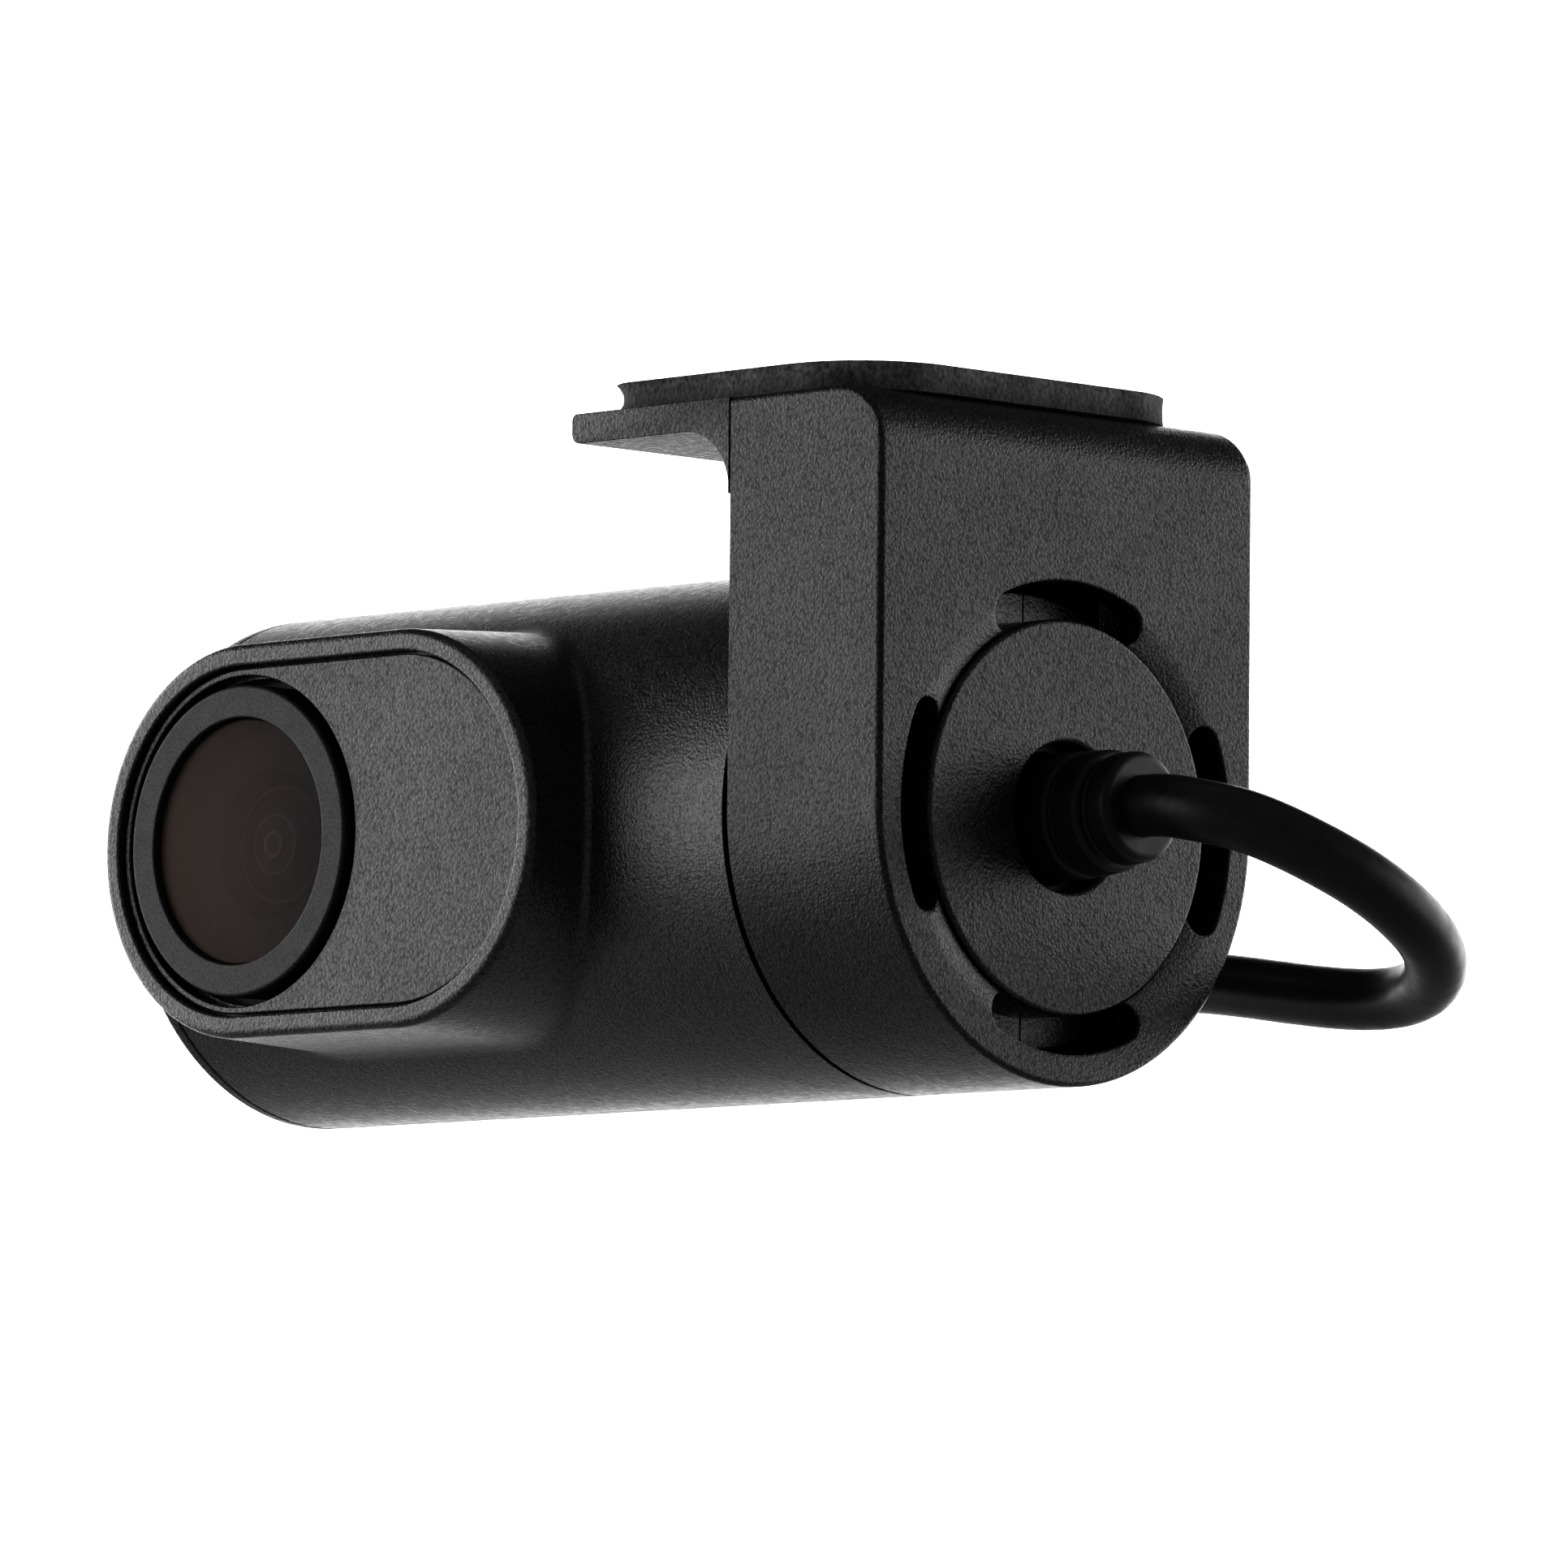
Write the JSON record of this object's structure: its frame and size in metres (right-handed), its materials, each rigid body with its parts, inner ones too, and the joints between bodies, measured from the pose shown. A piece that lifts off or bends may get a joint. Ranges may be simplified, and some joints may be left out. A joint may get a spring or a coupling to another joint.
{
  "type": "vehicle window camera",
  "caption": "Cylindrical camera for the inside of a vehicle's rear window: it tilts in a side bracket that a foam pad bonds to the glass, and a lead leaves through the bracket.",
  "frame": {"origin": "centre of the foam pad's top face, the face that is bonded to the window glass", "axes": "+Z out of the pad into the glass, +X along the barrel axis from the closed end cap to the lead exit, and -Y the way the lens looks at rest"},
  "size_m": [0.0867, 0.0515, 0.0398],
  "materials": {
    "housing_plastic": "fine matte texture",
    "rim_plastic": "fine matte texture",
    "satin_plastic": "satin",
    "foam": "open foam",
    "rubber": "smooth rubber",
    "lead_jacket": "smooth satin",
    "screw_steel": "plated",
    "contact_gold": "polished plating",
    "anodised_black": "black anodised",
    "board_green": "solder resist",
    "chip_black": "moulded epoxy",
    "can_steel": "tinned",
    "tinted_glass": "polished, coated",
    "lens_glass": "polished, coated",
    "filter_glass": "polished, coated"
  },
  "bodies": {
    "bracket": {"foam_pad": "foam", "mount_bracket": "housing_plastic", "arm_cover": "housing_plastic", "bracket_screw_front": "screw_steel", "bracket_screw_rear": "screw_steel", "lead_cable": "lead_jacket", "lead_hank": "lead_jacket", "lead_tail": "lead_jacket", "hank_tie": "rubber", "plug_grip": "rubber", "plug_pin": "contact_gold"},
    "camera": {"front_shell": "housing_plastic", "rear_shell": "housing_plastic", "end_cap": "housing_plastic", "nose_plate": "rim_plastic", "friction_ring": "rubber", "end_disc": "housing_plastic", "strain_relief": "rubber", "lens_trim_ring": "satin_plastic", "cover_glass": "tinted_glass", "glass_gasket": "rubber", "lens_barrel": "anodised_black", "lens_front_element": "lens_glass", "lens_stop_ring": "anodised_black", "lens_rear_element": "lens_glass", "lens_holder": "chip_black", "infrared_filter": "filter_glass", "holder_screw_upper": "screw_steel", "holder_screw_lower": "screw_steel", "image_sensor": "chip_black", "sensor_board": "board_green", "board_link": "chip_black", "main_board": "board_green", "processor_chip": "chip_black", "shield_can": "can_steel", "memory_chip": "chip_black", "power_inductor": "chip_black", "clock_crystal": "can_steel", "bulk_capacitor": "can_steel", "lead_socket": "rim_plastic", "lead_housing": "rim_plastic", "inner_lead": "lead_jacket", "board_screw_left": "screw_steel", "board_screw_right": "screw_steel"}
  },
  "joints": [
    {"name": "camera_tilt", "type": "hinge", "parent": "bracket", "child": "camera", "pos_m": [0, 0, -0.0248], "axis": [-1, 0, 0], "range_deg": [-90, 90]}
  ]
}
